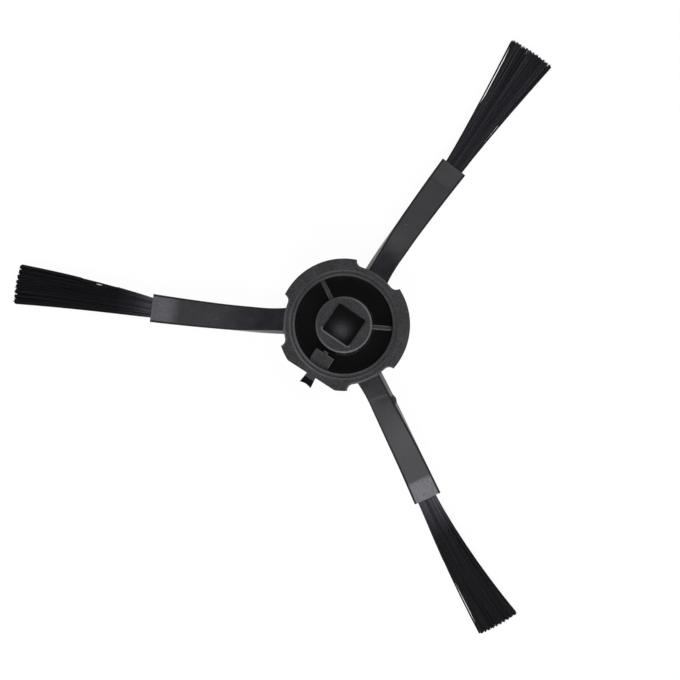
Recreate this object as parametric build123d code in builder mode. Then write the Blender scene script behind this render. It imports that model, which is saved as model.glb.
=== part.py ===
from build123d import *

import math
import os

# Robot vacuum side brush: a rigid hub with a square drive socket, three rubber arms and three bristle
# tufts. Millimetres and degrees. The origin is on the hub's axis in the boss's end face, at the mouth of
# the drive socket. +Z points out of the socket, +X along the first arm.

arm_count = 3

# Drive socket and the boss around it
socket_side = 8.4
socket_corner = 0.5
socket_lead_in = 0.35
socket_depth = 5.0
boss_wall = 1.56
boss_draft = 3.5

# Cup around the boss
cup_radius = 15.0
cup_wall = 2.0
cup_floor = 2.0
cup_depth = 11.5
cup_draft = 2.0
cup_foot_edge = 1.0
rim_rise = 2.0
mouth_step_breadth = 1.1
mouth_step_depth = 0.7

# Shallow bevels on the edges of the boss, the mouth and the recesses
bevel_breadth = 0.45
bevel_depth = 0.22

# Flange: a ring of lobes, stepped back at each arm with rounded notches
flange_thickness = 1.8
lobe_overhang = 2.5
recess_overhang = 0.9
recess_half_angle = 22.8
notch_round = 1.75

# Ribs from the boss to the wall
rib_thickness = 1.3
rib_drop = 1.5
rib_seat = 0.8
rib_edge_round = 0.4

# Key: a block inside the wall, and outside it a flat on the flange with the forked stub of a moulding gate
key_bearing = 181.5
key_breadth = 5.6
key_depth = 3.9
key_drop = 0.5
key_rib_proud = 0.65
key_edge_round = 0.25
gate_breadth = 2.75
gate_ear = 0.9
gate_fork_breadth = 3.4
gate_fork_depth = 0.35
gate_proud = 3.0
gate_drop = 1.4
gate_thickness = 1.6

# Arms: rolled at the hub, flat at the end, drooping and widening outward
arm_droop = 7.5
arm_seat_rise = 6.5
arm_reach = 52.0
arm_root_breadth = 6.1
arm_end_breadth = 7.6
arm_thickness = 2.8
arm_edge = 0.4
arm_side_offset = 0.45
arm_sweeps = (0.95, 1.1, 0.3)
arm_roll = 25.0
arm_twist_length = 17.0
arm_flare = 0.65
arm_flare_length = 7.0
arm_sections = 9
arm_section_crowding = 1.6

# Arm seats on the hub: a shoulder flush with each arm and a tongue inside it
shoulder_proud = 0.75
tongue_breadth = 4.0
tongue_thickness = 1.2
tongue_length = 5.2

# Tufts: a fused root held in the arm's end, and filaments that fan out of it
tuft_root_length = 6.4
tuft_root_breadth = 5.3
tuft_root_thickness = 1.7
tuft_root_margin = 0.14
tuft_length = 38.5
tuft_tip_breadths = (13.0, 10.8, 11.8)
tuft_tip_thickness = 2.6
tuft_leans = (3.0, -2.2, 4.9)
filament_radius = 0.14
filament_gap = 0.02
filament_sides = 6
filament_embed = 0.4
filament_trim = 0.4

# Heights, radii and counts that follow from the sizes above
boss_radius = socket_side / math.sqrt(2) + boss_wall
mouth_radius = cup_radius - cup_wall
step_radius = mouth_radius + mouth_step_breadth
step_height = rim_rise - mouth_step_depth
flange_height = rim_rise - flange_thickness
floor_height = rim_rise - cup_depth
base_height = floor_height - cup_floor
draft_slope = math.tan(math.radians(cup_draft))
foot_radius = cup_radius - (flange_height - base_height) * draft_slope
floor_radius = mouth_radius - cup_depth * draft_slope
boss_foot_radius = boss_radius - floor_height * math.tan(math.radians(boss_draft))
recess_radius = cup_radius + recess_overhang
lobe_radius = cup_radius + lobe_overhang
arm_pitch = 360 / arm_count
shoulder_reach = (cup_radius + shoulder_proud) / math.cos(math.radians(arm_droop))
arm_length = arm_reach - shoulder_reach
filament_pitch = 2 * filament_radius + filament_gap
filament_spread = tuft_root_breadth - 2 * tuft_root_margin
filament_stack = tuft_root_thickness - 2 * tuft_root_margin
filament_columns = math.floor(filament_spread / filament_pitch)
filament_rows = math.floor(filament_stack / filament_pitch)


def arm_flare_at(along):
    """Extra breadth on the trailing side where an arm runs into the hub."""
    left = max(0.0, 1 - (along - shoulder_reach) / arm_flare_length)
    return arm_flare * left**2


def arm_roll_at(along):
    """Roll of an arm's section, full at the shoulder and fading smoothly to none."""
    share = min(1.0, (along - shoulder_reach) / arm_twist_length)
    return arm_roll * (1 - share**2 * (3 - 2 * share))


def arm_breadth_at(along):
    """Breadth of an arm's section."""
    taper = (arm_end_breadth - arm_root_breadth) * (along - shoulder_reach) / arm_length
    return arm_root_breadth + taper + arm_flare_at(along)


def arm_section_plane(index, along):
    """Plane across one arm: x towards its leading side, y up, z outward along the arm."""
    bearing = math.radians(index * arm_pitch)
    droop = math.radians(arm_droop)
    seat_height = base_height + arm_seat_rise
    axis = Plane(
        origin=(0, 0, seat_height + shoulder_reach * math.sin(droop)),
        x_dir=(-math.sin(bearing), math.cos(bearing), 0),
        z_dir=(
            math.cos(bearing) * math.cos(droop),
            math.sin(bearing) * math.cos(droop),
            -math.sin(droop),
        ),
    )
    share = (along - shoulder_reach) / arm_length
    side = arm_side_offset - arm_sweeps[index] * share**2 - arm_flare_at(along) / 2
    turn = math.degrees(math.atan(-2 * arm_sweeps[index] * share / arm_length))
    return Plane(axis * Pos(side, 0, along) * Rot(0, turn, 0) * Rot(0, 0, arm_roll_at(along)))


# Plan of one recess in the flange, with its inner corners rounded into notches
with BuildSketch() as recess:
    with BuildLine():
        inner_arc = CenterArc((0, 0), recess_radius, -recess_half_angle, 2 * recess_half_angle)
        outer_arc = CenterArc((0, 0), lobe_radius + notch_round, -recess_half_angle, 2 * recess_half_angle)
        Line(inner_arc @ 0, outer_arc @ 0)
        Line(inner_arc @ 1, outer_arc @ 1)
    make_face()
    fillet(recess.vertices().sort_by_distance((0, 0))[:2], radius=notch_round)

# Plan of the flat on the flange, outward along +X from the hub's axis
with BuildSketch() as flat:
    with Locations((recess_radius, 0)):
        Rectangle(lobe_radius, 2 * lobe_radius, align=(Align.MIN, Align.CENTER))

# Plan of the gate's stub, spreading to a hollowed end
with BuildSketch() as gate:
    with BuildLine():
        gate_root = cup_radius - cup_wall / 2
        gate_reach = recess_radius + gate_proud
        hollow = ThreePointArc(
            (gate_reach, -gate_fork_breadth / 2),
            (gate_reach - gate_fork_depth, 0),
            (gate_reach, gate_fork_breadth / 2),
        )
        Polyline(
            hollow @ 1,
            (recess_radius, gate_breadth / 2),
            (gate_root, gate_breadth / 2),
            (gate_root, -gate_breadth / 2),
            (recess_radius, -gate_breadth / 2),
            hollow @ 0,
        )
    make_face()

# Hub: cup, boss, flange, ribs, key, gate stub and the three arm seats, moulded as one piece
with BuildPart() as hub:
    with BuildSketch(Plane.XZ) as cup_section:
        with BuildLine():
            Polyline(
                (0, base_height),
                (foot_radius, base_height),
                (cup_radius, flange_height),
                (cup_radius, rim_rise),
                (step_radius + bevel_breadth, rim_rise),
                (step_radius, rim_rise - bevel_depth),
                (step_radius, step_height),
                (mouth_radius + bevel_breadth, step_height),
                (mouth_radius, step_height - bevel_depth),
                (floor_radius, floor_height),
                (boss_foot_radius, floor_height),
                (boss_radius, -bevel_depth),
                (boss_radius - bevel_breadth, 0),
                (0, 0),
                close=True,
            )
        make_face()
        chamfer(cup_section.vertices().sort_by_distance((foot_radius, base_height))[0], length=cup_foot_edge)
    revolve(axis=Axis.Z)

    with BuildSketch(Plane.XY.offset(flange_height)):
        Circle(lobe_radius)
        with PolarLocations(0, arm_count):
            add(recess.sketch, mode=Mode.SUBTRACT)
        with PolarLocations(0, 1, start_angle=key_bearing):
            add(flat.sketch, mode=Mode.SUBTRACT)
            with Locations((gate_root, 0)):
                ear_length = recess_radius + gate_ear - gate_root
                Rectangle(ear_length, gate_breadth, align=(Align.MIN, Align.CENTER))
        Circle((cup_radius + step_radius) / 2, mode=Mode.SUBTRACT)
    extrude(amount=flange_thickness)
    rim_face = hub.faces().sort_by(Axis.Z)[-1]
    rim_arcs = rim_face.edges().filter_by(GeomType.CIRCLE)
    recess_arcs = rim_arcs.filter_by(lambda arc: math.isclose(arc.radius, recess_radius))
    chamfer(recess_arcs, length=bevel_breadth, length2=bevel_depth, reference=rim_face)

    with BuildSketch(Plane.XY.offset(rim_rise - gate_drop)):
        with PolarLocations(0, 1, start_angle=key_bearing):
            add(gate.sketch)
    extrude(amount=-gate_thickness)

    with BuildSketch():
        RectangleRounded(socket_side, socket_side, socket_corner)
    extrude(amount=-socket_depth, mode=Mode.SUBTRACT)
    boss_end = hub.faces().filter_by(Axis.Z).sort_by_distance((boss_radius, 0, 0))[0]
    chamfer(boss_end.inner_wires()[0].edges(), length=socket_lead_in)

    with BuildSketch(Plane.XY.offset(floor_height)):
        rib_length = mouth_radius - boss_radius + 2 * rib_seat
        for side in (-1, 1):
            with PolarLocations((mouth_radius + boss_radius) / 2, 1, start_angle=side * arm_pitch / 2):
                Rectangle(rib_length, rib_thickness)
    extrude(amount=-floor_height - rib_drop)
    rib_tops = hub.faces(Select.LAST).filter_by(Axis.Z).group_by(Axis.Z)[-1]
    fillet(rib_tops.edges().filter_by(GeomType.LINE), radius=rib_edge_round)

    with BuildSketch(Plane.XY.offset(floor_height)):
        with PolarLocations(mouth_radius + rib_seat, 1, start_angle=key_bearing):
            Rectangle(key_depth + rib_seat, key_breadth, align=(Align.MAX, Align.CENTER))
            Rectangle(key_depth + rib_seat + key_rib_proud, rib_thickness, align=(Align.MAX, Align.CENTER))
    extrude(amount=-floor_height - key_drop)
    key_top = hub.faces(Select.LAST).filter_by(Axis.Z).group_by(Axis.Z)[-1]
    fillet(key_top.edges().filter_by(GeomType.LINE), radius=key_edge_round)

    for index in range(arm_count):
        seat = arm_section_plane(index, shoulder_reach)
        with BuildSketch(seat) as shoulder:
            Rectangle(arm_breadth_at(shoulder_reach), arm_thickness)
            chamfer(shoulder.vertices(), length=arm_edge)
        extrude(amount=-shoulder_proud - cup_wall / 2)
        with BuildSketch(seat):
            Rectangle(tongue_breadth, tongue_thickness)
        extrude(amount=tongue_length)

hub.part.label = "hub"
os.makedirs("parts", exist_ok=True)
export_step(hub.part, "parts/hub.step")

# Arms: lofted through rolled sections, with a pocket for the hub's tongue and one for the tuft's root
for index in range(arm_count):
    with BuildPart() as arm:
        for step in range(arm_sections):
            along = shoulder_reach + arm_length * (step / (arm_sections - 1)) ** arm_section_crowding
            with BuildSketch(arm_section_plane(index, along)) as section:
                Rectangle(arm_breadth_at(along), arm_thickness)
                chamfer(section.vertices(), length=arm_edge)
        loft()
        with BuildSketch(arm_section_plane(index, shoulder_reach)):
            Rectangle(tongue_breadth, tongue_thickness)
        extrude(amount=tongue_length, mode=Mode.SUBTRACT)
        with BuildSketch(arm_section_plane(index, arm_reach)):
            Rectangle(tuft_root_breadth, tuft_root_thickness)
        extrude(amount=-tuft_root_length, mode=Mode.SUBTRACT)
    arm.part.label = f"arm_{index + 1}"
    export_step(arm.part, f"parts/arm_{index + 1}.step")

# Tufts: staggered rows of straight filaments that spread from the fused root, every other column cut shorter
for index in range(arm_count):
    seat = arm_section_plane(index, arm_reach)
    heading = Plane(seat * Rot(0, tuft_leans[index], 0))
    with BuildPart() as tuft:
        with BuildSketch(seat):
            Rectangle(tuft_root_breadth, tuft_root_thickness)
        extrude(amount=-tuft_root_length)
        for column in range(filament_columns):
            for row in range(filament_rows):
                stagger = (row + 0.5) / filament_rows - 0.5
                across = (column + 0.5 + stagger) / filament_columns - 0.5
                above = (row + 0.5) / filament_rows - 0.5
                root = seat.from_local_coords((across * filament_spread, above * filament_stack, 0))
                tip = heading.from_local_coords(
                    (across * tuft_tip_breadths[index], above * tuft_tip_thickness, tuft_length)
                )
                course = (tip - root).normalized()
                start = root - course * (filament_embed + filament_trim * (column % 2))
                with BuildSketch(Plane(origin=start, x_dir=seat.x_dir, z_dir=course)):
                    RegularPolygon(filament_radius, filament_sides)
        extrude(amount=tuft_length + filament_embed, clean=False)
    tuft.part.label = f"tuft_{index + 1}"
    export_step(tuft.part, f"parts/tuft_{index + 1}.step")
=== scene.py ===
"""Looks of a robot vacuum side brush: moulded hub, rolled rubber arms and fanned nylon tufts."""

import logging
import math
import random
from dataclasses import dataclass, field
from enum import Enum

import bmesh
import bpy
from mathutils import Matrix, Vector


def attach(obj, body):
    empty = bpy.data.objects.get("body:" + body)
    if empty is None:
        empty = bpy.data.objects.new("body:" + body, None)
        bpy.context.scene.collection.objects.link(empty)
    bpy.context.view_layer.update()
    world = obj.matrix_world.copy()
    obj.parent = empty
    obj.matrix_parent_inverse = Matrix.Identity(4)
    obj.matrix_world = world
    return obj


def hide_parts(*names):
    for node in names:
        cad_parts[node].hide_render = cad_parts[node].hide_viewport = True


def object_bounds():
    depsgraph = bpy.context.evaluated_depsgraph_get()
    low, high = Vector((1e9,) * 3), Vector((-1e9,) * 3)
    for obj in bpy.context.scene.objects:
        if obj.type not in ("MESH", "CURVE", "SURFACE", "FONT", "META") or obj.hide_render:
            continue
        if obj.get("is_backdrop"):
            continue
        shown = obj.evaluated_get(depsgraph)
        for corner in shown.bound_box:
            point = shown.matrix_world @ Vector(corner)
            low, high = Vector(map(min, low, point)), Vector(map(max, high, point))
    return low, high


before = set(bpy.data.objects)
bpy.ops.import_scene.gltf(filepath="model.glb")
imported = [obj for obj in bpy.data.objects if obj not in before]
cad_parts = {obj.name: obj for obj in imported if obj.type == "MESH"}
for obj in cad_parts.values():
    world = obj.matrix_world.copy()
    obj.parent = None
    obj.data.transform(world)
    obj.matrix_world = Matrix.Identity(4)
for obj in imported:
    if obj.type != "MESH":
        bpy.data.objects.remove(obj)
cad_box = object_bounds()

log = logging.getLogger("side_brush")
# Shapes are in metres, written as millimetres times MM. Finishes give millimetres, as their names say.
MM = 0.001
# Droop of every arm, and breadth, thickness and depth of the pocket that holds a tuft's root.
ARM_DROOP_DEG = 7.5
ROOT_POCKET = (5.3 * MM, 1.7 * MM, 6.4 * MM)


class Slot(Enum):
    """Names for the material slots of the pieces that the scene models anew; the script does not use them."""

    ARM = "arm_rubber"
    TUFT = "bristle_nylon"


class Side(Enum):
    """Sides of an arm or a tuft, seen from above with the hub behind."""

    LEADING = 1
    TRAILING = -1


class Axis(Enum):
    """Axes of the brush's frame that a pattern can run along."""

    X = "X"
    Y = "Y"


class ArmMark(Enum):
    """Marks on an arm's vertices that its rubber reads."""

    OVER_ROOT = "over_root"
    CORNER = "corner"
    FLANK = "lit_flank"
    NEAR_HUB = "near_hub"


class TuftMark(Enum):
    """Marks on a tuft's vertices that its nylon reads."""

    STRAND = "strand"
    NEAR_ROOT = "near_root"


def linear(hex_colour: str) -> tuple[float, float, float, float]:
    """Turns an sRGB hex colour into linear light.

    Args:
        hex_colour: colour such as "#1a1a1c".

    Returns:
        Red, green, blue and a full alpha.
    """
    parts = [int(hex_colour[i : i + 2], 16) / 255 for i in (1, 3, 5)]
    light = [c / 12.92 if c <= 0.04045 else ((c + 0.055) / 1.055) ** 2.4 for c in parts]
    return (*light, 1.0)


def smooth_step(value: float) -> float:
    """Eases a share from 0 to 1 with level ends."""
    share = min(1.0, max(0.0, value))
    return share * share * (3 - 2 * share)


def add_node(tree: bpy.types.NodeTree, kind: str, inputs: dict | None = None, **settings) -> bpy.types.Node:
    """Adds a node with its settings and feeds its inputs.

    Args:
        tree: node tree that takes the node.
        kind: type name of the node.
        inputs: input name or number, with its value or the socket that is linked to it.
        settings: attributes of the node itself.

    Returns:
        The new node.
    """
    node = tree.nodes.new(kind)
    for name, value in settings.items():
        setattr(node, name, value)
    for name, value in (inputs or {}).items():
        if isinstance(value, bpy.types.NodeSocket):
            tree.links.new(value, node.inputs[name])
        else:
            node.inputs[name].default_value = value
    return node


def new_material(name: str) -> tuple[bpy.types.Material, bpy.types.NodeTree]:
    """Makes an empty node material.

    Args:
        name: name of the material.

    Returns:
        The material and its node tree.
    """
    material = bpy.data.materials.new(name)
    material.use_nodes = True
    material.node_tree.nodes.clear()
    return material, material.node_tree


def add_object(mesh: bmesh.types.BMesh, name: str, material: bpy.types.Material) -> bpy.types.Object:
    """Turns a bmesh into an object at the origin, with its faces outward.

    Args:
        mesh: finished geometry, in the brush's frame; it is freed.
        name: name of the object.
        material: its finish.

    Returns:
        The new object.
    """
    bmesh.ops.recalc_face_normals(mesh, faces=mesh.faces)
    data = bpy.data.meshes.new(name)
    mesh.to_mesh(data)
    mesh.free()
    data.materials.append(material)
    piece = bpy.data.objects.new(name, data)
    bpy.context.collection.objects.link(piece)
    return piece


def shade_smooth(piece: bpy.types.Object, edge_deg: float) -> None:
    """Shades a piece smooth, apart from edges that turn by more than an angle."""
    piece.data.shade_smooth()
    piece.data.set_sharp_from_angle(angle=math.radians(edge_deg))


def speck_mask(
    tree: bpy.types.NodeTree,
    place: bpy.types.NodeSocket,
    spacing_mm: float,
    radius: float,
    core: float = 0.4,
) -> bpy.types.NodeSocket:
    """Mask of a few specks of dust that catch the light.

    Args:
        tree: tree of the material.
        place: object coordinates.
        spacing_mm: mean distance between the specks.
        radius: radius of a speck, as a share of that distance.
        core: share of the radius that is wholly covered.

    Returns:
        The mask, 1 on a speck.
    """
    specks = add_node(tree, "ShaderNodeTexVoronoi", {"Vector": place, "Scale": 1 / (spacing_mm * MM)})
    return add_node(
        tree,
        "ShaderNodeMapRange",
        {"Value": specks.outputs["Distance"], "From Min": radius, "From Max": radius * core},
    ).outputs["Result"]


@dataclass(frozen=True)
class EdgeHighlightZone:
    """Round zone of the hub whose edges get an uneven painted highlight: it changes from one side to the
    other, as the light falls.
    """

    radius_mm: float
    axis: Axis
    from_mm: float
    to_mm: float
    from_share: float
    to_share: float


@dataclass(frozen=True)
class MouldedPolypropylene:
    """Black polypropylene, moulded in a tool with spark-eroded faces round a polished core."""

    dark: str = "#09090b"
    light: str = "#303036"
    # Tone inside the cup and the socket and on the gate stub: painted shade, over their real polish.
    smooth: str = "#0c0c10"
    # Pale tone of the edges and sloped bevels: a painted highlight.
    pale_tone: str = "#b8b8be"
    dust: str = "#6e6e70"
    # Pale tone of a painted pool of light on the socket's floor.
    socket_painted_light: str = "#434347"
    grain_mm: float = 0.42
    grain_depth_mm: float = 0.03
    grain_strength: float = 0.8
    grain_detail: float = 2.0
    cloud_mm: float = 6.0
    cloud_detail: float = 3.0
    cloud_weight: float = 0.5
    speckle: tuple[float, float] = (0.65, 0.87)
    edge_mm: float = 0.15
    edge_samples: int = 6
    edge_turn: tuple[float, float] = (0.995, 0.93)
    edge_highlight: float = 0.7
    bevel_upward: tuple[float, float] = (0.5, 0.97)
    # How strong the edges' painted highlight is, changing from one side to the other as the light falls.
    wear_and_highlight: tuple[EdgeHighlightZone, ...] = (
        EdgeHighlightZone(30.0, Axis.X, -9.0, 3.0, 0.14, 0.03),
        EdgeHighlightZone(12.5, Axis.Y, -3.0, 5.0, 0.27, 0.1),
        EdgeHighlightZone(6.3, Axis.X, -3.9, -3.4, 0.4, 0.03),
    )
    dust_mm: float = 3.2
    dust_radius: float = 0.045
    cup_mm: float = 13.2
    cup_top_mm: float = -1.8
    cup_floor_mm: float = -9.7
    stub_mm: float = -16.9
    # Middle, reach and fall-off of the painted pool of light on the socket's floor.
    socket_spot_mm: tuple[float, float, float] = (-2.0, -0.27, -5.0)
    socket_spot_reach_mm: float = 5.6
    socket_spot_fade: float = 2.2
    rough: float = 0.5
    worn_rough: float = 0.32
    smooth_rough: float = 0.12
    ior: float = 1.49

    def material(self) -> bpy.types.Material:
        """Builds the node material.

        Returns:
            The material.
        """
        material, tree = new_material("moulded_polypropylene")
        place = add_node(tree, "ShaderNodeTexCoord").outputs["Object"]
        tone, grain = self._grained(tree, place)
        inside = self._smooth_shaded_zone(tree, place)
        socket_light_pool = self._socket_light_mask(tree, place)
        pale_tone = self._edge_highlight_mask(tree, place)
        for mask, shade in (
            # Painted shade in the cup, the socket and on the gate stub.
            (inside, self.smooth),
            (speck_mask(tree, place, self.dust_mm, self.dust_radius), self.dust),
            # Painted pool of light on the socket's floor.
            (socket_light_pool, self.socket_painted_light),
            # Painted highlight on the edges.
            (pale_tone, self.pale_tone),
        ):
            tone = add_node(
                tree, "ShaderNodeMix", {0: mask, 6: tone, 7: linear(shade)}, data_type="RGBA"
            ).outputs[2]
        polish = add_node(tree, "ShaderNodeMath", {0: inside, 1: socket_light_pool}, operation="SUBTRACT").outputs[0]
        rough = self.rough
        for mask, level in ((polish, self.smooth_rough), (pale_tone, self.worn_rough)):
            rough = add_node(tree, "ShaderNodeMix", {0: mask, 2: rough, 3: level}).outputs[0]
        bump = add_node(
            tree,
            "ShaderNodeBump",
            {"Height": grain, "Strength": self.grain_strength, "Distance": self.grain_depth_mm * MM},
        )
        shader = add_node(
            tree,
            "ShaderNodeBsdfPrincipled",
            {"Base Color": tone, "Roughness": rough, "IOR": self.ior, "Normal": bump.outputs["Normal"]},
        )
        add_node(tree, "ShaderNodeOutputMaterial", {"Surface": shader.outputs["BSDF"]})
        return material

    def _grained(
        self, tree: bpy.types.NodeTree, place: bpy.types.NodeSocket
    ) -> tuple[bpy.types.NodeSocket, bpy.types.NodeSocket]:
        """Speckled tone of the eroded faces.

        Args:
            tree: tree of the material.
            place: object coordinates.

        Returns:
            The tone and the grain's height.
        """
        # The eroded grain breaks reflections into an even fine speckle. The real grain is about 0.05 mm,
        # and is drawn coarser so that it shows in a picture of the whole brush.
        grain, cloud = (
            add_node(
                tree, "ShaderNodeTexNoise", {"Vector": place, "Scale": 1 / (size * MM), "Detail": detail}
            ).outputs["Fac"]
            for size, detail in ((self.grain_mm, self.grain_detail), (self.cloud_mm, self.cloud_detail))
        )
        mixed = add_node(
            tree, "ShaderNodeMath", {0: cloud, 1: self.cloud_weight, 2: grain}, operation="MULTIPLY_ADD"
        )
        speckle = add_node(
            tree,
            "ShaderNodeMapRange",
            {"Value": mixed.outputs[0], "From Min": self.speckle[0], "From Max": self.speckle[1]},
        )
        tone = add_node(
            tree,
            "ShaderNodeMix",
            {0: speckle.outputs["Result"], 6: linear(self.dark), 7: linear(self.light)},
            data_type="RGBA",
        )
        return tone.outputs[2], grain

    def _smooth_shaded_zone(self, tree: bpy.types.NodeTree, place: bpy.types.NodeSocket) -> bpy.types.NodeSocket:
        """Mask of the polished faces inside the cup and the socket and on the torn gate stub, which also get
        painted shade.

        Args:
            tree: tree of the material.
            place: object coordinates.

        Returns:
            The mask, 1 on the polished faces that get painted shade.
        """
        axes = add_node(tree, "ShaderNodeSeparateXYZ", {0: place})
        height = axes.outputs["Z"]
        tests = (
            (self._radius(tree, place), self.cup_mm, "LESS_THAN", "ADD"),
            (height, self.cup_top_mm, "LESS_THAN", "MULTIPLY"),
            (height, self.cup_floor_mm, "GREATER_THAN", "MULTIPLY"),
            (axes.outputs["X"], self.stub_mm, "LESS_THAN", "MAXIMUM"),
        )
        zone = 0.0
        for value, limit, test, join in tests:
            mask = add_node(tree, "ShaderNodeMath", {0: value, 1: limit * MM}, operation=test)
            zone = add_node(tree, "ShaderNodeMath", {0: zone, 1: mask.outputs[0]}, operation=join).outputs[0]
        return zone

    def _socket_light_mask(self, tree: bpy.types.NodeTree, place: bpy.types.NodeSocket) -> bpy.types.NodeSocket:
        """Mask of a painted pool of light on one side of the socket's floor.

        Args:
            tree: tree of the material.
            place: object coordinates.

        Returns:
            The mask, 1 in the middle of the pool of light.
        """
        spot = add_node(
            tree,
            "ShaderNodeVectorMath",
            {0: place, 1: [size * MM for size in self.socket_spot_mm]},
            operation="DISTANCE",
        )
        closeness = add_node(
            tree,
            "ShaderNodeMapRange",
            {"Value": spot.outputs["Value"], "From Min": self.socket_spot_reach_mm * MM, "From Max": 0.0},
        )
        return add_node(
            tree,
            "ShaderNodeMath",
            {0: closeness.outputs["Result"], 1: self.socket_spot_fade},
            operation="POWER",
        ).outputs[0]

    def _edge_highlight_mask(self, tree: bpy.types.NodeTree, place: bpy.types.NodeSocket) -> bpy.types.NodeSocket:
        """Mask of the edges, which get a painted highlight as a paler line and a burnished grain, most of all
        round the drive and more on the side where the light falls.

        Args:
            tree: tree of the material.
            place: object coordinates.

        Returns:
            The mask, up to the share of painted highlight on an edge.
        """
        rounded = add_node(tree, "ShaderNodeBevel", {"Radius": self.edge_mm * MM}, samples=self.edge_samples)
        facet = add_node(tree, "ShaderNodeNewGeometry").outputs["True Normal"]
        turn = add_node(
            tree, "ShaderNodeVectorMath", {0: rounded.outputs["Normal"], 1: facet}, operation="DOT_PRODUCT"
        )
        axes = add_node(tree, "ShaderNodeSeparateXYZ", {0: place})
        radius = self._radius(tree, place)
        share = 0.0
        for zone in self.wear_and_highlight:
            level = add_node(
                tree,
                "ShaderNodeMapRange",
                {
                    "Value": axes.outputs[zone.axis.value],
                    "From Min": zone.from_mm * MM,
                    "From Max": zone.to_mm * MM,
                    "To Min": zone.from_share,
                    "To Max": zone.to_share,
                },
            )
            within = add_node(
                tree, "ShaderNodeMath", {0: radius, 1: zone.radius_mm * MM}, operation="LESS_THAN"
            )
            share = add_node(
                tree, "ShaderNodeMix", {0: within.outputs[0], 2: share, 3: level.outputs["Result"]}
            ).outputs[0]
        edge = add_node(
            tree,
            "ShaderNodeMapRange",
            {
                "Value": turn.outputs["Value"],
                "From Min": self.edge_turn[0],
                "From Max": self.edge_turn[1],
                "To Max": self.edge_highlight,
            },
        )
        # Sloping bevels and rounds get the painted highlight all over.
        upward = add_node(tree, "ShaderNodeSeparateXYZ", {0: facet}).outputs["Z"]
        above, below = (
            add_node(tree, "ShaderNodeMath", {0: upward, 1: limit}, operation=test).outputs[0]
            for limit, test in zip(self.bevel_upward, ("GREATER_THAN", "LESS_THAN"))
        )
        mask = above
        for value, join in ((below, "MULTIPLY"), (edge.outputs["Result"], "MAXIMUM"), (share, "MULTIPLY")):
            mask = add_node(tree, "ShaderNodeMath", {0: mask, 1: value}, operation=join).outputs[0]
        return mask

    @staticmethod
    def _radius(tree: bpy.types.NodeTree, place: bpy.types.NodeSocket) -> bpy.types.NodeSocket:
        """Distance of the shaded point from the hub's axis.

        Args:
            tree: tree of the material.
            place: object coordinates.

        Returns:
            The distance.
        """
        flat = add_node(tree, "ShaderNodeVectorMath", {0: place, 1: (1.0, 1.0, 0.0)}, operation="MULTIPLY")
        reach = add_node(tree, "ShaderNodeVectorMath", {0: flat.outputs["Vector"]}, operation="LENGTH")
        return reach.outputs["Value"]


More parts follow.
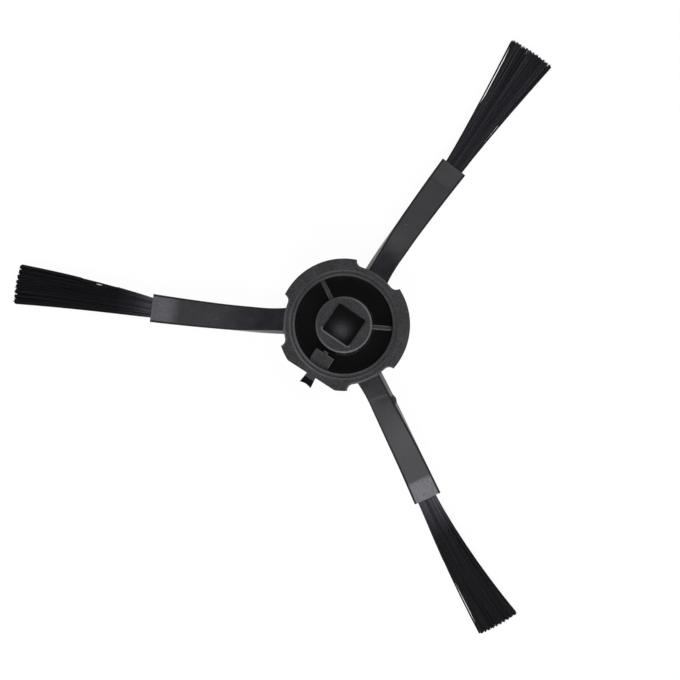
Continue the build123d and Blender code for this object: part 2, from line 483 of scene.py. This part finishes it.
@dataclass(frozen=True)
class ThermoplasticRubber:
    """Black thermoplastic rubber, moulded over the hub's tongues and the tufts' roots."""

    body: str = "#18171d"
    bloom: str = "#2a2931"
    # The patch over a tuft's root: a frosting, with painted light in how strong it is on each arm.
    over_root: str = "#8b8a91"
    # Painted shade on the rounded corners and the flash nub.
    corner: str = "#0b0b0d"
    # Painted highlight on the side faces.
    lit_flank: str = "#3a393e"
    dust: str = "#77777a"
    cloud_mm: float = 3.6
    cloud_detail: float = 5.0
    grain_mm: float = 0.6
    grain_detail: float = 2.0
    grain_depth_mm: float = 0.015
    grain_strength: float = 0.5
    mottle: tuple[float, float] = (0.3, 0.7)
    frost_and_light_least: float = 0.6
    dust_mm: float = 3.2
    dust_radius: float = 0.055
    roughness: tuple[float, float] = (0.40, 0.52)
    root_roughness: float = 0.6
    corner_roughness: float = 0.8
    flank_roughness: float = 0.3
    near_hub_roughness: float = 0.26
    ior: float = 1.5

    def material(self) -> bpy.types.Material:
        """Builds the node material.

        Returns:
            The material.
        """
        material, tree = new_material("thermoplastic_rubber")
        place = add_node(tree, "ShaderNodeTexCoord").outputs["Object"]
        over_root, corner, lit_flank, near_hub = (
            add_node(tree, "ShaderNodeAttribute", attribute_name=mark.value).outputs["Fac"]
            for mark in ArmMark
        )
        # The soft moulding gives a satin sheen with cloudy patches. The mould's fine polish marks are drawn
        # coarser than they are, so that they show.
        cloud, grain = (
            add_node(
                tree, "ShaderNodeTexNoise", {"Vector": place, "Scale": 1 / (size * MM), "Detail": detail}
            ).outputs["Fac"]
            for size, detail in ((self.cloud_mm, self.cloud_detail), (self.grain_mm, self.grain_detail))
        )
        # It has a frosting where it lies thin over the root of a tuft, with painted light on top: the patch
        # is stronger on the arms that the light falls on most, and on two arms a painted brightening grows
        # towards the end. The rounded corners and the flash nub get painted shade, which looks like dark
        # lines beside the flanks with their painted highlight, and near the hub the rubber is rubbed smoother
        # and so looks darker.
        frost_and_light = self._frost_and_light_mask(tree, grain, over_root)
        tone = self._mottled(tree, cloud)
        for mask, shade in (
            (frost_and_light, self.over_root),
            (corner, self.corner),
            (lit_flank, self.lit_flank),
            (speck_mask(tree, place, self.dust_mm, self.dust_radius), self.dust),
        ):
            tone = add_node(
                tree, "ShaderNodeMix", {0: mask, 6: tone, 7: linear(shade)}, data_type="RGBA"
            ).outputs[2]
        rough = add_node(
            tree,
            "ShaderNodeMapRange",
            {"Value": cloud, "To Min": self.roughness[0], "To Max": self.roughness[1]},
        ).outputs["Result"]
        for mask, level in (
            (near_hub, self.near_hub_roughness),
            (frost_and_light, self.root_roughness),
            (corner, self.corner_roughness),
            (lit_flank, self.flank_roughness),
        ):
            rough = add_node(tree, "ShaderNodeMix", {0: mask, 2: rough, 3: level}).outputs[0]
        bump = add_node(
            tree,
            "ShaderNodeBump",
            {"Height": grain, "Strength": self.grain_strength, "Distance": self.grain_depth_mm * MM},
        )
        shader = add_node(
            tree,
            "ShaderNodeBsdfPrincipled",
            {"Base Color": tone, "Roughness": rough, "IOR": self.ior, "Normal": bump.outputs["Normal"]},
        )
        add_node(tree, "ShaderNodeOutputMaterial", {"Surface": shader.outputs["BSDF"]})
        return material

    def _mottled(self, tree: bpy.types.NodeTree, cloud: bpy.types.NodeSocket) -> bpy.types.NodeSocket:
        """Cloudy tone of the bare rubber.

        Args:
            tree: tree of the material.
            cloud: the broad noise.

        Returns:
            The tone.
        """
        share = add_node(
            tree,
            "ShaderNodeMapRange",
            {"Value": cloud, "From Min": self.mottle[0], "From Max": self.mottle[1]},
        )
        return add_node(
            tree,
            "ShaderNodeMix",
            {0: share.outputs["Result"], 6: linear(self.body), 7: linear(self.bloom)},
            data_type="RGBA",
        ).outputs[2]

    def _frost_and_light_mask(
        self, tree: bpy.types.NodeTree, grain: bpy.types.NodeSocket, over_root: bpy.types.NodeSocket
    ) -> bpy.types.NodeSocket:
        """Mask of the patch over the root, its frosting with painted light, broken up by the grain.

        Args:
            tree: tree of the material.
            grain: the fine noise.
            over_root: the arm's own mark of the patch.

        Returns:
            The mask.
        """
        patchy = add_node(
            tree,
            "ShaderNodeMapRange",
            {
                "Value": grain,
                "From Min": self.mottle[0],
                "From Max": self.mottle[1],
                "To Min": self.frost_and_light_least,
            },
        )
        return add_node(
            tree, "ShaderNodeMath", {0: over_root, 1: patchy.outputs["Result"]}, operation="MULTIPLY"
        ).outputs[0]


@dataclass(frozen=True)
class DrawnNylon:
    """Black nylon monofilament, drawn and cut."""

    deep: str = "#06060b"
    pale_tone: str = "#13121b"
    # Pale tone of the streaks near the root and the tip: scuffing and a painted highlight.
    pale_streak_tone: str = "#6a6974"
    roughness: float = 0.4
    gloss: float = 0.2
    ior: float = 1.53

    def material(self) -> bpy.types.Material:
        """Builds the node material.

        Returns:
            The material.
        """
        material, tree = new_material("drawn_nylon")
        # Drawing leaves each strand smooth, so it carries a thin streak of light along its length, and the
        # strands differ a little in tone, some more rubbed than others. Where they leave the arm they are
        # paler in streaks, from scuffing and a painted highlight.
        strand, near_root = (
            add_node(tree, "ShaderNodeAttribute", attribute_name=mark.value).outputs["Fac"]
            for mark in TuftMark
        )
        tone = linear(self.deep)
        for mask, shade in ((strand, self.pale_tone), (near_root, self.pale_streak_tone)):
            tone = add_node(
                tree, "ShaderNodeMix", {0: mask, 6: tone, 7: linear(shade)}, data_type="RGBA"
            ).outputs[2]
        shader = add_node(
            tree,
            "ShaderNodeBsdfPrincipled",
            {
                "Base Color": tone,
                "Roughness": self.roughness,
                "IOR": self.ior,
                "Specular IOR Level": self.gloss,
            },
        )
        add_node(tree, "ShaderNodeOutputMaterial", {"Surface": shader.outputs["BSDF"]})
        return material


@dataclass(frozen=True)
class MattWhitePaint:
    """Matt white paint of the studio's sweep."""

    paint: str = "#f4f4f4"
    glow: float = 1.04
    shadow_share: float = 0.08

    def material(self) -> bpy.types.Material:
        """Builds the node material.

        Returns:
            The material.
        """
        material, tree = new_material("matt_white_paint")
        # It shows white to the camera and in reflections, and keeps a faint shadow of the brush. The glow
        # makes up for the share that the shadow takes, so that the sum is white.
        paint = add_node(tree, "ShaderNodeBsdfDiffuse", {"Color": linear(self.paint)})
        glow = add_node(tree, "ShaderNodeEmission", {"Strength": self.glow})
        rays = add_node(tree, "ShaderNodeLightPath")
        seen = rays.outputs["Is Camera Ray"]
        for kind in ("Is Glossy Ray", "Is Transmission Ray"):
            seen = add_node(
                tree, "ShaderNodeMath", {0: seen, 1: rays.outputs[kind]}, operation="MAXIMUM"
            ).outputs[0]
        share = add_node(tree, "ShaderNodeMath", {0: seen, 1: 1 - self.shadow_share}, operation="MULTIPLY")
        mix = add_node(
            tree,
            "ShaderNodeMixShader",
            {0: share.outputs[0], 1: paint.outputs["BSDF"], 2: glow.outputs["Emission"]},
        )
        add_node(tree, "ShaderNodeOutputMaterial", {"Surface": mix.outputs["Shader"]})
        return material


@dataclass
class ArmLine:
    """The line that one arm follows out of the hub, with its section's turn and breadth on the way."""

    bearing_deg: float
    sweep: float
    seat_height: float = -5.0 * MM
    droop_deg: float = ARM_DROOP_DEG
    shoulder: float = 15.75 * MM / math.cos(math.radians(ARM_DROOP_DEG))
    reach: float = 52.0 * MM
    side_offset: float = 0.45 * MM
    roll_deg: float = 25.0
    twist_length: float = 17.0 * MM
    flare: float = 0.65 * MM
    flare_length: float = 7.0 * MM
    root_breadth: float = 6.1 * MM
    end_breadth: float = 7.6 * MM

    def flare_at(self, along: float) -> float:
        """Extra breadth on the trailing side near the hub."""
        left = max(0.0, 1 - (along - self.shoulder) / self.flare_length)
        return self.flare * left**2

    def share_at(self, along: float) -> float:
        """Share of the arm's length that is behind a point."""
        return (along - self.shoulder) / (self.reach - self.shoulder)

    def breadth_at(self, along: float) -> float:
        """Breadth of the arm's section."""
        taper = (self.end_breadth - self.root_breadth) * self.share_at(along)
        return self.root_breadth + taper + self.flare_at(along)

    def frame_at(self, along: float) -> Matrix:
        """Frame across the arm: x to its leading side, y up, z outward.

        Args:
            along: distance from the hub's axis, along the arm.

        Returns:
            The frame in the brush's coordinates.
        """
        bearing, droop = math.radians(self.bearing_deg), math.radians(self.droop_deg)
        side = Vector((-math.sin(bearing), math.cos(bearing), 0))
        out = Matrix.Rotation(bearing, 3, "Z") @ Vector((math.cos(droop), 0, -math.sin(droop)))
        axes = Matrix((side, out.cross(side), out)).transposed().to_4x4()
        axes.translation = (0, 0, self.seat_height + self.shoulder * math.sin(droop))
        share = self.share_at(along)
        offset = self.side_offset - self.sweep * share**2 - self.flare_at(along) / 2
        turn = math.atan(-2 * self.sweep * share / (self.reach - self.shoulder))
        roll = math.radians(self.roll_deg) * (1 - smooth_step((along - self.shoulder) / self.twist_length))
        place = Matrix.Translation((offset, 0, along))
        return axes @ place @ Matrix.Rotation(turn, 4, "Y") @ Matrix.Rotation(roll, 4, "Z")


@dataclass
class Hub:
    """The moulded hub: its solid is shown as it is, with its own finish."""

    node: str = "hub"
    finish: MouldedPolypropylene = field(default_factory=MouldedPolypropylene)

    def dress(self) -> None:
        """Gives the hub's solid its moulded finish."""
        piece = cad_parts[self.node]
        piece.data.materials.clear()
        piece.data.materials.append(self.finish.material())
        log.info("dressed %s", self.node)


@dataclass(frozen=True)
class FrostAndLightPatch:
    """Lighter patch at an arm's end, where the rubber lies thin over the tuft's root: a frosting, with
    painted light in its strength and in its brightening along the arm.
    """

    strength: float
    painted_outward_light: float = 0.0
    length: float = 6.4 * MM
    blend: float = 0.6 * MM
    swell: float = 0.07 * MM

    def at(self, to_end: float) -> float:
        """Strength of the patch at a distance from the arm's end, from 0 to 1."""
        return smooth_step((self.length - to_end) / self.blend)


@dataclass(frozen=True)
class FlashNub:
    """Small nub of moulding flash on an arm's leading edge."""

    along: float
    proud: float = 0.34 * MM
    length: float = 0.85 * MM
    # From this height on, the nub gets the corners' painted shade.
    dark_from: float = 0.05 * MM

    def at(self, along: float) -> float:
        """How far the nub stands out at a place along the arm."""
        return self.proud * math.exp(-(((along - self.along) / self.length) ** 2))


@dataclass
class Arm:
    """One rubber arm with rounded edges and a pocket at each end."""

    number: int
    line: ArmLine
    patch: FrostAndLightPatch
    nub: FlashNub | None = None
    thickness: float = 2.8 * MM
    edge_round: float = 0.4 * MM
    edge_segments: int = 4
    edge_deg: float = 40.0
    corner_share: float = 1.02
    rings: int = 120
    lip: float = 0.2 * MM
    face_inset: float = 0.7 * MM
    flank_inset: float = 0.5 * MM
    root_pocket: tuple[float, float, float] = ROOT_POCKET
    tongue_pocket: tuple[float, float, float] = (4.0 * MM, 1.2 * MM, 5.2 * MM)
    crease_depth: float = 0.0
    crease_length: float = 0.4 * MM
    rubbed_length: float = 14.0 * MM

    def build(self, material: bpy.types.Material) -> bpy.types.Object:
        """Models the arm as a straight bar and bends it onto its line.

        Args:
            material: the arms' rubber.

        Returns:
            The finished piece.
        """
        length = self.line.reach - self.line.shoulder
        mesh = bmesh.new()
        bmesh.ops.create_cube(mesh, size=1.0)
        bmesh.ops.scale(mesh, vec=(self.line.end_breadth, self.thickness, length), verts=mesh.verts)
        bmesh.ops.translate(mesh, vec=(0, 0, length / 2), verts=mesh.verts)
        bmesh.ops.bevel(
            mesh,
            geom=self._long_edges(mesh, length),
            offset=self.edge_round,
            segments=self.edge_segments,
            profile=0.5,
            affect="EDGES",
            material=-1,
        )
        for axis, inset in ((Vector((1, 0, 0)), self.face_inset), (Vector((0, 1, 0)), self.flank_inset)):
            half = self.line.end_breadth / 2 if axis.x else self.thickness / 2
            for side in Side:
                bmesh.ops.bisect_plane(
                    mesh,
                    geom=mesh.verts[:] + mesh.edges[:] + mesh.faces[:],
                    plane_co=axis * side.value * (half - inset),
                    plane_no=axis,
                )
        bmesh.ops.subdivide_edges(
            mesh, edges=self._long_edges(mesh, length), cuts=self.rings, use_grid_fill=True
        )
        self._sink(mesh, 1, self.root_pocket)
        self._sink(mesh, -1, self.tongue_pocket)
        self._bend(mesh)
        piece = add_object(mesh, f"rubber_arm_{self.number}", material)
        shade_smooth(piece, self.edge_deg)
        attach(piece, "root")
        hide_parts(f"arm_{self.number}")
        log.info("built %s", piece.name)
        return piece

    @staticmethod
    def _long_edges(mesh: bmesh.types.BMesh, length: float) -> list[bmesh.types.BMEdge]:
        """Edges that run the whole length of the straight bar."""
        return [e for e in mesh.edges if abs(e.verts[0].co.z - e.verts[1].co.z) > length / 2]

    def _sink(self, mesh: bmesh.types.BMesh, outward: int, size: tuple[float, float, float]) -> None:
        """Sinks a pocket into one end of the straight bar.

        Args:
            mesh: the bar.
            outward: 1 for the far end, -1 for the hub's end.
            size: breadth, thickness and depth of the pocket.
        """
        mesh.normal_update()
        cap = max(mesh.faces, key=lambda face: face.normal.z * outward + face.calc_area())
        bmesh.ops.inset_individual(mesh, faces=[cap], thickness=self.lip)
        spread = [max(v.co[i] for v in cap.verts) - min(v.co[i] for v in cap.verts) for i in (0, 1)]
        bmesh.ops.scale(mesh, vec=(size[0] / spread[0], size[1] / spread[1], 1), verts=cap.verts[:])
        floor = bmesh.ops.extrude_discrete_faces(mesh, faces=[cap])["faces"][0]
        bmesh.ops.translate(mesh, vec=(0, 0, -outward * size[2]), verts=floor.verts[:])

    def _bend(self, mesh: bmesh.types.BMesh) -> None:
        """Bends the straight bar onto the arm's line, with its patch, its nub and its faint crease.

        Args:
            mesh: the bar; its vertices also get the marks that the rubber reads.
        """
        over_root, corner, lit_flank, near_hub = (mesh.verts.layers.float.new(mark.value) for mark in ArmMark)
        half_breadth, half = self.line.end_breadth / 2, self.thickness / 2
        inner = self.corner_share * self.edge_round
        crease = self.line.shoulder + self.tongue_pocket[2]
        for vert in mesh.verts:
            along = self.line.shoulder + vert.co.z
            on_face = abs(vert.co.y) > half - self.edge_round / 2
            on_side = abs(vert.co.x) > half_breadth - self.edge_round / 2
            near_corner = abs(vert.co.x) > half_breadth - inner and abs(vert.co.y) > half - inner
            frost_and_light_share = self.patch.at(self.line.reach - along) if on_face else 0.0
            bump = self.nub.at(along) if self.nub and on_side and vert.co.x > 0 else 0.0
            on_nub = self.nub is not None and bump > self.nub.dark_from
            # A painted brightening that grows along the arm towards its end.
            painted_outward_light = self.patch.painted_outward_light * self.line.share_at(along)
            vert[over_root] = max(frost_and_light_share * self.patch.strength, painted_outward_light)
            vert[near_hub] = 1 - smooth_step((along - self.line.shoulder) / self.rubbed_length)
            # Painted shade on the rounded corners and on the flash nub.
            vert[corner] = 1.0 if near_corner or on_nub else 0.0
            # Painted highlight on the side faces.
            vert[lit_flank] = 1.0 if on_side and not vert[corner] else 0.0
            x = vert.co.x * self.line.breadth_at(along) / self.line.end_breadth
            y = vert.co.y * (1 + frost_and_light_share * self.patch.swell / half)
            if on_face:
                sunk = math.exp(-(((along - crease) / self.crease_length) ** 2))
                y -= math.copysign(self.crease_depth * sunk, y)
            x += bump
            vert.co = self.line.frame_at(along) @ Vector((x, y, 0))


@dataclass(frozen=True)
class LooseStrands:
    """A few outer strands of a tuft that keep their line where the rest of it draws in from them."""

    side: Side
    gap: float
    start: float
    end: float
    columns: int = 2
    rows: int = 3
    pitch: float = 0.018
    reach: float = 0.2
    ease: float = 0.25

    def drawn_in(self, across: float, share: float) -> float:
        """How far the rest of the tuft draws in from these strands.

        Args:
            across: place of a strand across the tuft, from -0.5 to 0.5.
            share: share of the strand's length.

        Returns:
            The sideways move of that strand.
        """
        opening = smooth_step((share - self.start) / self.ease)
        closing = smooth_step((share - self.end) / self.ease)
        near = smooth_step(1 - (0.5 - across * self.side.value) / self.reach)
        return -self.side.value * self.gap * (opening - closing) * near


@dataclass
class StrandPlace:
    """Place of one strand in its tuft, with its own small differences."""

    across: float
    above: float
    shade: float
    streak: float
    trim: float
    sway: float
    lift: float
    is_loose: bool = False


@dataclass
class Tuft:
    """One fan of nylon strands that grows out of a fused root in the arm's end."""

    number: int
    line: ArmLine
    length: float
    lean_deg: float
    tip_breadth: float
    fan_power: float
    bow: float
    root_shift: float
    clumps: int
    # How much paler the strands are near the root and towards the tip: scuffing and a painted highlight.
    root_paling: float
    paling_length: float
    tip_paling: float = 0.0
    loose: tuple[LooseStrands, ...] = ()
    columns: int = 36
    rows: int = 8
    streaks: int = 14
    row_scatter: tuple[float, float] = (0.2, 0.8)
    root: tuple[float, float, float] = ROOT_POCKET
    root_margin: float = 0.14 * MM
    root_segments: int = 2
    tip_thickness: float = 2.6 * MM
    strand_radius: float = 0.125 * MM
    strand_sides: int = 6
    strand_steps: int = 7
    edge_deg: float = 65.0
    embed: float = 0.5 * MM
    clump_pull: float = 0.05
    clump_round: float = 0.35 * MM
    length_spread: float = 0.2 * MM
    paling_least: float = 0.1
    paling_by_shade: float = 0.3
    paling_by_streak: float = 0.75
    streak_power: float = 1.5
    sway: float = 0.10 * MM
    lift: float = 0.10 * MM

    def build(self, material: bpy.types.Material) -> bpy.types.Object:
        """Models the root block and every strand.

        Args:
            material: the strands' nylon.

        Returns:
            The finished piece.
        """
        mesh = bmesh.new()
        marks = [mesh.verts.layers.float.new(mark.value) for mark in TuftMark]
        seat = self.line.frame_at(self.line.reach)
        pattern = self._straight_strand(mesh)
        places = self._places()
        for place in places:
            copy = bmesh.ops.duplicate(mesh, geom=pattern)["geom"]
            self._lay([v for v in copy if isinstance(v, bmesh.types.BMVert)], seat, place, marks)
        spare = [v for v in pattern if isinstance(v, bmesh.types.BMVert)]
        bmesh.ops.delete(mesh, geom=spare, context="VERTS")
        self._add_root(mesh, seat)
        piece = add_object(mesh, f"nylon_tuft_{self.number}", material)
        shade_smooth(piece, self.edge_deg)
        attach(piece, "root")
        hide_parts(f"tuft_{self.number}")
        log.info("built %s with %d strands", piece.name, len(places))
        return piece

    def _straight_strand(
        self, mesh: bmesh.types.BMesh
    ) -> list[bmesh.types.BMVert | bmesh.types.BMEdge | bmesh.types.BMFace]:
        """Models one straight strand of unit length along z.

        Args:
            mesh: bmesh that takes the strand.

        Returns:
            All of the strand's geometry.
        """
        bmesh.ops.create_cone(
            mesh,
            cap_ends=True,
            segments=self.strand_sides,
            radius1=self.strand_radius,
            radius2=self.strand_radius,
            depth=1.0,
            matrix=Matrix.Translation((0, 0, 0.5)),
        )
        sides = [e for e in mesh.edges if abs(e.verts[0].co.z - e.verts[1].co.z) > 0.5]
        bmesh.ops.subdivide_edges(mesh, edges=sides, cuts=self.strand_steps - 1, use_grid_fill=True)
        return mesh.verts[:] + mesh.edges[:] + mesh.faces[:]

    def _places(self) -> list[StrandPlace]:
        """Scatters the strands over the root in uneven rows, and adds the loose outer ones.

        Returns:
            The place of every strand.
        """
        dice = random.Random(self.number)
        streaks = [dice.random() for _ in range(self.streaks)]
        places = []
        for column in range(self.columns):
            streak = streaks[column * self.streaks // self.columns]
            for row in range(self.rows):
                across = (column + dice.random()) / self.columns - 0.5
                above = (row + dice.uniform(*self.row_scatter)) / self.rows - 0.5
                places.append(self._place(across, above, streak, dice))
        for loose in self.loose:
            for column in range(loose.columns):
                across = loose.side.value * (0.5 - column * loose.pitch)
                for row in range(loose.rows):
                    place = self._place(across, (row + 0.5) / loose.rows - 0.5, 0.0, dice)
                    place.sway, place.is_loose = 0.0, True
                    places.append(place)
        return places

    def _place(self, across: float, above: float, streak: float, dice: random.Random) -> StrandPlace:
        """Draws one strand's own differences.

        Args:
            across: place across the tuft, from -0.5 to 0.5.
            above: place through the tuft's thickness, from -0.5 to 0.5.
            streak: how scuffed its neighbours are, from 0 to 1.
            dice: source of the differences.

        Returns:
            The strand's place.
        """
        return StrandPlace(
            across,
            above,
            shade=dice.random(),
            streak=streak,
            trim=dice.uniform(0, self.length_spread),
            sway=dice.gauss(0, self.sway),
            lift=dice.gauss(0, self.lift),
        )

    def _lay(
        self,
        verts: list[bmesh.types.BMVert],
        seat: Matrix,
        place: StrandPlace,
        marks: list[bmesh.types.BMLayerItem],
    ) -> None:
        """Lays one straight strand along its own curve in the fan.

        Args:
            verts: vertices of the straight strand.
            seat: frame of the arm's end.
            place: the strand's place and differences.
            marks: layers that take the strand's tone and its paler streaks near the root and towards the tip,
                which are scuffing and a painted highlight.
        """
        heading = seat @ Matrix.Rotation(math.radians(self.lean_deg), 4, "Y")
        number = min(self.clumps - 1, math.floor((place.across + 0.5) * self.clumps))
        clump = (number + 0.5) / self.clumps - 0.5
        in_clump = (place.across - clump) * self.clumps * 2
        tip_x = (place.across + (clump - place.across) * self.clump_pull) * self.tip_breadth
        reach = self.length - place.trim - self.clump_round * (in_clump**2 + 4 * place.across**2 - 1)
        root_x = place.across * (self.root[0] - 2 * self.root_margin) + self.root_shift
        root_y = place.above * (self.root[1] - 2 * self.root_margin)
        # Strands are paler in streaks, by clumps, near the root and towards the tip: scuffing and a painted
        # highlight.
        own_paling = self.paling_least + self.paling_by_shade * place.shade
        own_paling += self.paling_by_streak * place.streak**self.streak_power
        for vert in verts:
            share = vert.co.z
            swell = math.sin(math.pi * share)
            x = root_x + (tip_x - root_x) * share**self.fan_power
            x += self.bow * 4 * share * (1 - share) + place.sway * swell
            if not place.is_loose:
                x += sum(loose.drawn_in(place.across, share) for loose in self.loose)
            y = root_y + (place.above * self.tip_thickness - root_y) * share + place.lift * swell
            fade = 1 - smooth_step(share * self.length / self.paling_length)
            vert[marks[0]] = place.shade
            wear_and_highlight = self.root_paling * fade + self.tip_paling * smooth_step(share)
            vert[marks[1]] = wear_and_highlight * own_paling
            out = share * (reach + self.embed) - self.embed
            vert.co = heading @ Vector((x + vert.co.x, y + vert.co.y, out))

    def _add_root(self, mesh: bmesh.types.BMesh, seat: Matrix) -> None:
        """Adds the fused block that the arm's end holds.

        Args:
            mesh: bmesh that takes the block.
            seat: frame of the arm's end.
        """
        breadth, thickness, depth = (size - self.root_margin for size in self.root)
        place = seat @ Matrix.Translation((0, 0, -depth / 2 - self.root_margin))
        size = Matrix.Diagonal((breadth, thickness, depth, 1))
        block = bmesh.ops.create_cube(mesh, size=1.0, matrix=place @ size)
        edges = {edge for vert in block["verts"] for edge in vert.link_edges}
        bmesh.ops.bevel(
            mesh,
            geom=list(edges),
            offset=self.root_margin,
            segments=self.root_segments,
            profile=0.5,
            affect="EDGES",
            material=-1,
        )


@dataclass
class SoftLamp:
    """A soft square lamp, placed by the bearing and the tilt at which the brush sees it."""

    name: str
    bearing_deg: float
    tilt_deg: float
    size: float
    radiance: float
    distance: float = 0.8

    def add(self) -> None:
        """Adds the lamp, aimed at the brush."""
        light = bpy.data.lights.new(self.name, "AREA")
        light.shape = "SQUARE"
        light.size = self.size
        light.energy = self.radiance * math.pi * self.size**2
        lamp = bpy.data.objects.new(self.name, light)
        bearing, tilt = math.radians(self.bearing_deg), math.radians(self.tilt_deg)
        lamp.location = self.distance * Vector(
            (math.sin(tilt) * math.cos(bearing), math.sin(tilt) * math.sin(bearing), math.cos(tilt))
        )
        lamp.rotation_euler = (-lamp.location).to_track_quat("-Z", "Y").to_euler()
        lamp.visible_camera = False
        bpy.context.collection.objects.link(lamp)


@dataclass
class Studio:
    """White sweep, soft lamps and the camera that looks straight down on the brush."""

    picture_px: float = 680.0
    hub_px: tuple[float, float] = (343.8, 324.75)
    mm_per_px: float = 0.2638
    rim_height: float = 2.0 * MM
    camera_distance: float = 0.6
    first_arm_deg: float = 55.65
    sensor_mm: float = 36.0
    sweep_radius: float = 1.4
    sweep_bend: float = 0.4
    sweep_wall: float = 0.5
    sweep_segments: int = 64
    bend_segments: int = 8
    edge_deg: float = 40.0
    sky: float = 0.1
    sky_colour: str = "#ffffff"
    clip: tuple[float, float] = (0.01, 20.0)
    floor_gap: float = 0.05 * MM

    def add_sweep(self, floor_height: float) -> None:
        """Adds the floor, which bends up into a wall all round.

        Args:
            floor_height: height of the floor.
        """
        mesh = bmesh.new()
        middle = mesh.verts.new((0, 0, floor_height))
        start = mesh.verts.new((self.sweep_radius - self.sweep_bend, 0, floor_height))
        mesh.edges.new((middle, start))
        bmesh.ops.spin(
            mesh,
            geom=[start],
            cent=start.co + Vector((0, 0, self.sweep_bend)),
            axis=(0, -1, 0),
            angle=math.pi / 2,
            steps=self.bend_segments,
        )
        top = max(mesh.verts, key=lambda vert: vert.co.z)
        rise = bmesh.ops.extrude_vert_indiv(mesh, verts=[top])["verts"]
        bmesh.ops.translate(mesh, vec=(0, 0, self.sweep_wall), verts=rise)
        bmesh.ops.spin(
            mesh,
            geom=mesh.verts[:] + mesh.edges[:],
            axis=(0, 0, 1),
            angle=math.tau,
            steps=self.sweep_segments,
            use_merge=True,
        )
        bmesh.ops.remove_doubles(mesh, verts=mesh.verts, dist=0.01 * MM)
        sweep = add_object(mesh, "sweep", MattWhitePaint().material())
        shade_smooth(sweep, self.edge_deg)
        sweep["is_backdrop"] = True

    def add_light(self) -> None:
        """Adds the lamps round the brush and a dim sky above it."""
        lamps = (
            SoftLamp("right_lamp", 338, 26, 0.36, 2.6),
            SoftLamp("left_lamp", 150, 46, 0.36, 1.7),
            SoftLamp("near_lamp", 212, 26, 0.36, 4.8),
            SoftLamp("far_edge_lamp", 352, 54, 0.2, 5.0),
            SoftLamp("near_edge_lamp", 224, 54, 0.2, 5.0),
        )
        for lamp in lamps:
            lamp.add()
        world = bpy.data.worlds.new("dim_sky")
        world.use_nodes = True
        background = world.node_tree.nodes["Background"]
        background.inputs["Color"].default_value = linear(self.sky_colour)
        background.inputs["Strength"].default_value = self.sky
        bpy.context.scene.world = world

    def add_camera(self) -> None:
        """Adds the camera, turned and framed as in the photograph."""
        lens = bpy.data.cameras.new("camera")
        lens.sensor_width = self.sensor_mm
        half_view = self.picture_px / 2 * self.mm_per_px * MM
        lens.lens = self.sensor_mm / 2 * self.camera_distance / half_view
        lens.clip_start, lens.clip_end = self.clip
        camera = bpy.data.objects.new("camera", lens)
        turn = math.radians(-self.first_arm_deg)
        right = (self.picture_px / 2 - self.hub_px[0]) * self.mm_per_px * MM
        up = (self.hub_px[1] - self.picture_px / 2) * self.mm_per_px * MM
        height = self.rim_height + self.camera_distance
        camera.location = Matrix.Rotation(turn, 3, "Z") @ Vector((right, up, height))
        camera.rotation_euler = (0, 0, turn)
        bpy.context.collection.objects.link(camera)
        bpy.context.scene.camera = camera


def brush_arms(lines: list[ArmLine]) -> list[Arm]:
    """The three arms, each with its own pale end: a frosting with painted light in its strength and
    brightening.

    Args:
        lines: lines that the arms follow.

    Returns:
        The arms, not yet built.
    """
    return [
        # Each end is paler on the arms that the light falls on most, and two arms get a painted brightening
        # along them: painted light.
        Arm(1, lines[0], FrostAndLightPatch(0.05)),
        Arm(2, lines[1], FrostAndLightPatch(0.5, painted_outward_light=0.1, length=9.0 * MM, blend=5.0 * MM)),
        Arm(
            3,
            lines[2],
            FrostAndLightPatch(0.9, painted_outward_light=0.16, blend=1.5 * MM),
            nub=FlashNub(23.8 * MM),
            crease_depth=0.12 * MM,
        ),
    ]


def brush_tufts(lines: list[ArmLine]) -> list[Tuft]:
    """The three tufts, each with its own lean, spread and wear.

    Args:
        lines: lines of the arms that hold them.

    Returns:
        The tufts, not yet built.
    """
    return [
        Tuft(
            1,
            lines[0],
            length=38.35 * MM,
            lean_deg=3.0,
            tip_breadth=12.9 * MM,
            fan_power=1.25,
            bow=0.0,
            root_shift=0.0,
            clumps=12,
            root_paling=0.22,
            paling_length=60.0 * MM,
            tip_paling=0.16,
            loose=(
                LooseStrands(Side.LEADING, 0.56 * MM, 0.35, 0.88),
                LooseStrands(Side.TRAILING, 0.62 * MM, 0.1, 0.42, columns=3),
            ),
        ),
        Tuft(
            2,
            lines[1],
            length=37.9 * MM,
            lean_deg=-2.2,
            tip_breadth=10.8 * MM,
            fan_power=0.88,
            bow=-0.32 * MM,
            root_shift=0.0,
            clumps=8,
            root_paling=0.9,
            paling_length=8.0 * MM,
            loose=(LooseStrands(Side.TRAILING, 0.84 * MM, 0.28, 0.42, columns=3, ease=0.16),),
        ),
        Tuft(
            3,
            lines[2],
            length=39.9 * MM,
            lean_deg=4.7,
            tip_breadth=11.6 * MM,
            fan_power=1.25,
            bow=-0.7 * MM,
            root_shift=-0.15 * MM,
            clumps=10,
            root_paling=0.9,
            paling_length=12.0 * MM,
            loose=(LooseStrands(Side.TRAILING, 0.52 * MM, 0.4, 0.88),),
        ),
    ]


def main() -> None:
    """Builds the brush's pieces, then the studio round it."""
    logging.basicConfig(level=logging.INFO, format="%(name)s: %(message)s")
    bpy.context.scene.view_settings.view_transform = "Standard"
    Hub().dress()
    rubber = ThermoplasticRubber().material()
    nylon = DrawnNylon().material()
    # In the photograph the third arm keeps its roll further out than the others.
    lines = [ArmLine(0, 0.95 * MM), ArmLine(120, 1.1 * MM), ArmLine(240, 0.3 * MM, twist_length=28.0 * MM)]
    for arm in brush_arms(lines):
        arm.build(rubber)
    for tuft in brush_tufts(lines):
        tuft.build(nylon)
    studio = Studio()
    studio.add_sweep(min(cad_box[0].z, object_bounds()[0].z) - studio.floor_gap)
    studio.add_light()
    studio.add_camera()


if __name__ == "__main__":
    main()
